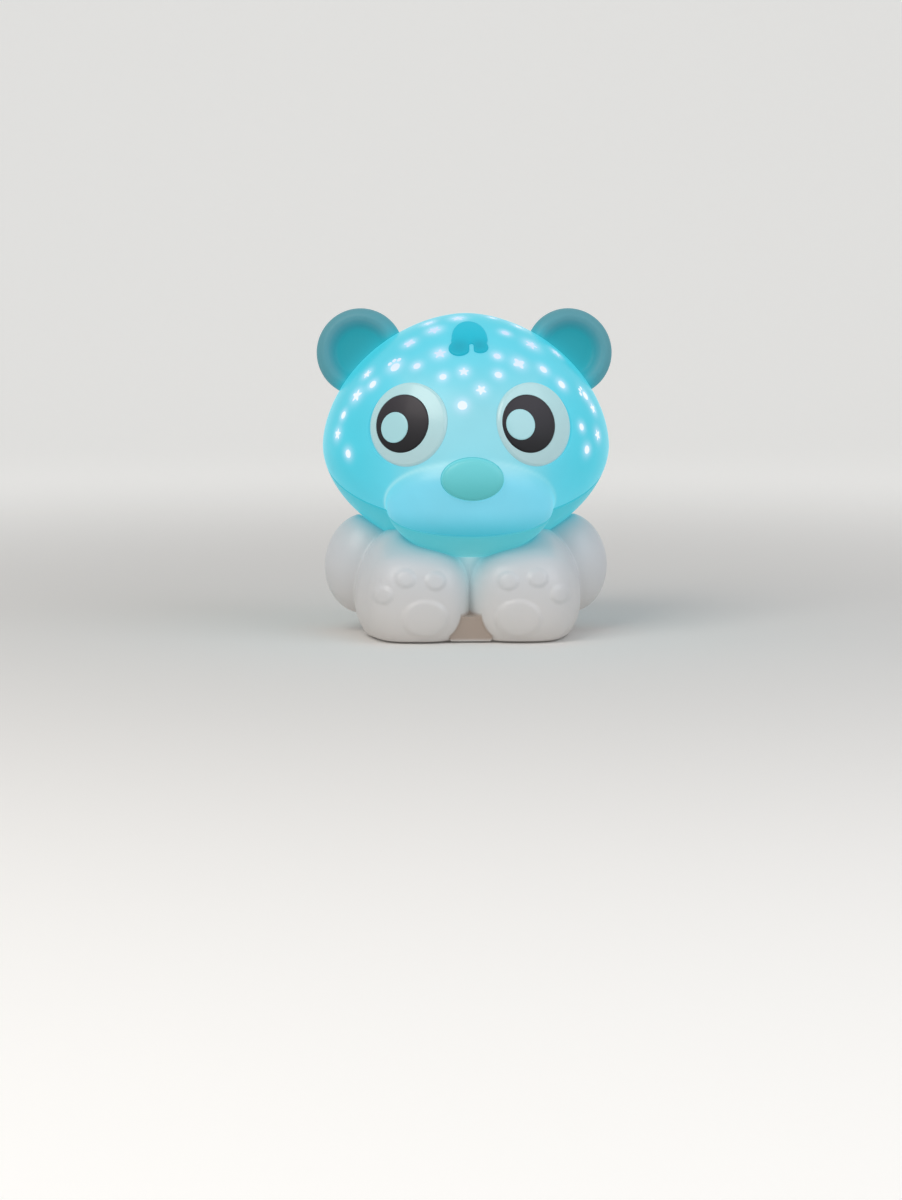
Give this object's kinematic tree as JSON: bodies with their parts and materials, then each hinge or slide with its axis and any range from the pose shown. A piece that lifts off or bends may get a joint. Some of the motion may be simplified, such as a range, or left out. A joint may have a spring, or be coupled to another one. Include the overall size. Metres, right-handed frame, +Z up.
{
  "type": "bear night light",
  "caption": "Seated bear night light in glossy plastic: glowing head with star windows, press nose, slide switch and hinged battery door below",
  "frame": {"origin": "on the floor under the middle of the bounding box", "axes": "+Z up, the face looks towards -Y, +X to the viewer's right"},
  "size_m": [0.1468, 0.132, 0.1594],
  "materials": {
    "dome_glow": "milky cyan translucent ABS, lit from inside",
    "clear_lens": "clear polystyrene",
    "teal_shell": "teal translucent ABS, lit from inside",
    "tuft": "teal moulded plastic",
    "ear": "muted teal moulded plastic",
    "eye_pale": "pale blue-white moulded plastic",
    "iris_gloss": "black moulded plastic, polished",
    "nose": "mint moulded plastic",
    "white_shell": "white injection-moulded ABS",
    "black_plastic": "black nylon",
    "circuit_board": "green fibreglass board",
    "sprung_steel": "nickel-plated spring steel",
    "screw_steel": "zinc-plated steel",
    "foot_rubber": "grey rubber",
    "cell_jacket": "plain grey wrapped steel can",
    "lead_sleeve": "red insulated wire"
  },
  "bodies": {
    "shell": {"head_dome": "dome_glow", "star_lens": "clear_lens", "head_back": "teal_shell", "hair_tuft": "tuft", "ear_left": "ear", "ear_right": "ear", "eye_white_left": "eye_pale", "iris_left": "iris_gloss", "eye_glint_left": "eye_pale", "eye_white_right": "eye_pale", "iris_right": "iris_gloss", "eye_glint_right": "eye_pale", "nose_spring": "sprung_steel", "nose_switch": "black_plastic", "nose_board": "circuit_board", "nose_screw_left": "screw_steel", "nose_screw_right": "screw_steel", "led_post": "white_shell", "led_board": "circuit_board", "rgb_led": "clear_lens", "body_front": "white_shell", "body_back": "white_shell", "base_plate": "white_shell", "power_switch": "sprung_steel", "main_board": "circuit_board", "battery_1": "cell_jacket", "battery_spring_1": "sprung_steel", "battery_contact_1": "sprung_steel", "battery_2": "cell_jacket", "battery_spring_2": "sprung_steel", "battery_contact_2": "sprung_steel", "battery_3": "cell_jacket", "battery_spring_3": "sprung_steel", "battery_contact_3": "sprung_steel", "rubber_foot_1": "foot_rubber", "rubber_foot_2": "foot_rubber", "rubber_foot_3": "foot_rubber", "rubber_foot_4": "foot_rubber", "case_screw_1": "screw_steel", "case_screw_2": "screw_steel", "case_screw_3": "screw_steel", "case_screw_4": "screw_steel", "head_screw_1": "screw_steel", "head_screw_2": "screw_steel", "head_screw_3": "screw_steel", "head_lead": "lead_sleeve", "nose_lead": "lead_sleeve", "battery_lead_plus": "lead_sleeve", "battery_lead_minus": "lead_sleeve"},
    "nose": {"nose_button": "nose"},
    "slider": {"power_slider": "black_plastic"},
    "door": {"battery_door": "white_shell", "door_screw": "screw_steel"}
  },
  "joints": [
    {"name": "nose_press", "type": "slide", "parent": "shell", "child": "nose", "axis": [0, 1, 0], "range_m": [0, 0.0015], "stiffness_N_per_m": 300, "deforming": ["nose_spring"]},
    {"name": "power_slide", "type": "slide", "parent": "shell", "child": "slider", "axis": [1, 0, 0], "range_m": [0, 0.004]},
    {"name": "battery_door_hinge", "type": "hinge", "parent": "shell", "child": "door", "pos_m": [-0.03095, 0.011, 0.0024], "axis": [0, 1, 0], "range_deg": [0, 80]}
  ]
}
